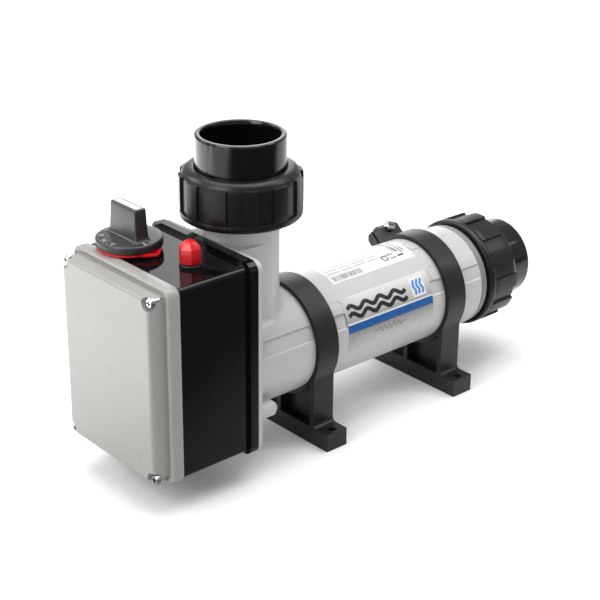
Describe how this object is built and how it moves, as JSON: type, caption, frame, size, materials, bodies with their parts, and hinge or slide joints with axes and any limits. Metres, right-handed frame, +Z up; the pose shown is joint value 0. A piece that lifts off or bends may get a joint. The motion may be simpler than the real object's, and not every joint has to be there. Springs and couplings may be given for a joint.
{
  "type": "in-line electric pool heater",
  "caption": "In-line electric pool heater: horizontal flow-through tube on clamp feet with a riser, pipe unions, a control box, temperature knob and reset button.",
  "frame": {"origin": "on the floor, at the centre of the rectangle of the four foot screw holes", "axes": "+X along the tube from the control box to the outlet union, +Z up along the riser, labels face -Y"},
  "size_m": [0.3587, 0.1179, 0.2172],
  "materials": {
    "grey_body": "satin moulded ABS",
    "gloss_black_box": "glossy moulded",
    "lid_grey": "satin moulded",
    "gasket": "matt",
    "chrome_screw": "bright plated",
    "steel_screw": "zinc plated",
    "stainless": "brushed",
    "element_sheath": "dark oxidised alloy sheath",
    "ceramic": "unglazed ceramic",
    "brass": "machined",
    "copper": "drawn",
    "switch_body": "matt moulded",
    "switch_black": "matt moulded",
    "wire_sleeve": "satin insulation",
    "limit_red": "satin moulded",
    "cap_red": "satin moulded",
    "knob_grey": "satin moulded",
    "insert_white": "satin",
    "gland_black": "satin nylon",
    "paddle_plastic": "satin moulded",
    "magnet": "sintered ferrite",
    "reed_glass": "clear glass",
    "nut_black": "satin moulded",
    "socket_black": "glossy moulded",
    "clamp_black": "satin moulded",
    "label_white": "printed film",
    "label_silver": "printed silver film"
  },
  "bodies": {
    "heater": {"heater_body": "grey_body", "box_body": "gloss_black_box", "lid_inserts": "brass", "box_screws": "steel_screw", "element_plate": "stainless", "element_seal": "gasket", "heating_element_1": "element_sheath", "heating_element_2": "element_sheath", "heating_element_3": "element_sheath", "element_insulators": "ceramic", "element_studs": "stainless", "element_nuts": "brass", "neutral_link": "copper", "earth_stud": "brass", "thermostat_pocket": "stainless", "cutout_pocket": "stainless", "thermostat_bulb": "copper", "cutout_bulb": "copper", "thermostat_capillary": "copper", "cutout_capillary": "copper", "thermostat_body": "switch_body", "thermostat_screws": "steel_screw", "cutout_body": "switch_black", "reset_bush_nut": "switch_black", "terminal_block": "switch_body", "terminal_screws": "brass", "internal_wires": "wire_sleeve", "gland_body": "gland_black", "gland_lock_nut": "gland_black", "gland_grommet": "gasket", "gland_dome_nut": "gland_black", "paddle_pin": "stainless", "reed_switch": "reed_glass", "inlet_seal": "gasket", "outlet_seal": "gasket", "clamp_box_end": "clamp_black", "clamp_outlet_end": "clamp_black", "clamp_screws": "chrome_screw", "clamp_nuts": "chrome_screw", "rating_label": "label_white", "front_label": "label_silver"},
    "lid": {"box_lid": "lid_grey", "lid_seal": "gasket", "lid_screws": "chrome_screw"},
    "knob": {"knob": "knob_grey", "knob_insert": "insert_white", "thermostat_spindle": "stainless"},
    "limit_ring": {"limit_ring": "limit_red"},
    "reset_button": {"reset_button": "cap_red"},
    "cap_seal": {"cap_seal": "gasket"},
    "reset_cap": {"reset_cap": "cap_red"},
    "flow_paddle": {"flow_paddle": "paddle_plastic", "paddle_magnet": "magnet"},
    "inlet_tailpiece": {"inlet_tailpiece": "socket_black"},
    "inlet_union_nut": {"inlet_union_nut": "nut_black"},
    "outlet_tailpiece": {"outlet_tailpiece": "socket_black"},
    "outlet_union_nut": {"outlet_union_nut": "nut_black"}
  },
  "joints": [
    {"name": "lid_off", "type": "slide", "parent": "heater", "child": "lid", "axis": [-1, 0, 0], "range_m": [0, 0.08]},
    {"name": "knob_turn", "type": "hinge", "parent": "heater", "child": "knob", "pos_m": [-0.1721, 0.023, 0.16], "axis": [0, 0, 1], "range_deg": [-135, 135]},
    {"name": "limit_ring_turn", "type": "hinge", "parent": "heater", "child": "limit_ring", "pos_m": [-0.1721, 0.023, 0.155], "axis": [0, 0, 1], "range_deg": [-90, 90]},
    {"name": "reset_press", "type": "slide", "parent": "heater", "child": "reset_button", "axis": [0, 0, -1], "range_m": [0, 0.0025], "stiffness_N_per_m": 400, "springref_m": -0.002},
    {"name": "cap_lift", "type": "slide", "parent": "heater", "child": "cap_seal", "axis": [0, 0, 1], "range_m": [0, 0.005]},
    {"name": "cap_turn", "type": "hinge", "parent": "cap_seal", "child": "reset_cap", "pos_m": [-0.1596, -0.022, 0.16], "axis": [0, 0, 1], "range_deg": [0, 1444]},
    {"name": "paddle_swing", "type": "hinge", "parent": "heater", "child": "flow_paddle", "pos_m": [-0.123, 0, 0.093], "axis": [0, -1, 0], "range_deg": [0, 25], "stiffness_Nm_per_rad": 0.001, "springref_deg": -11.46},
    {"name": "inlet_lift", "type": "slide", "parent": "heater", "child": "inlet_tailpiece", "axis": [0, 0, 1], "range_m": [0, 0.02001]},
    {"name": "inlet_nut_turn", "type": "hinge", "parent": "inlet_tailpiece", "child": "inlet_union_nut", "pos_m": [-0.102, 0, 0.18], "axis": [0, 0, 1], "range_deg": [0, 1800]},
    {"name": "outlet_draw", "type": "slide", "parent": "heater", "child": "outlet_tailpiece", "axis": [1, 0, 0], "range_m": [0, 0.02001]},
    {"name": "outlet_nut_turn", "type": "hinge", "parent": "outlet_tailpiece", "child": "outlet_union_nut", "pos_m": [0.114, 0, 0.068], "axis": [1, 0, 0], "range_deg": [0, 1800]}
  ],
  "couplings": [
    {"joint": "cap_turn", "follows": "cap_lift", "rad_per_m": 5026.5},
    {"joint": "inlet_lift", "follows": "inlet_nut_turn", "m_per_rad": 0.00063662},
    {"joint": "outlet_draw", "follows": "outlet_nut_turn", "m_per_rad": 0.00063662}
  ]
}
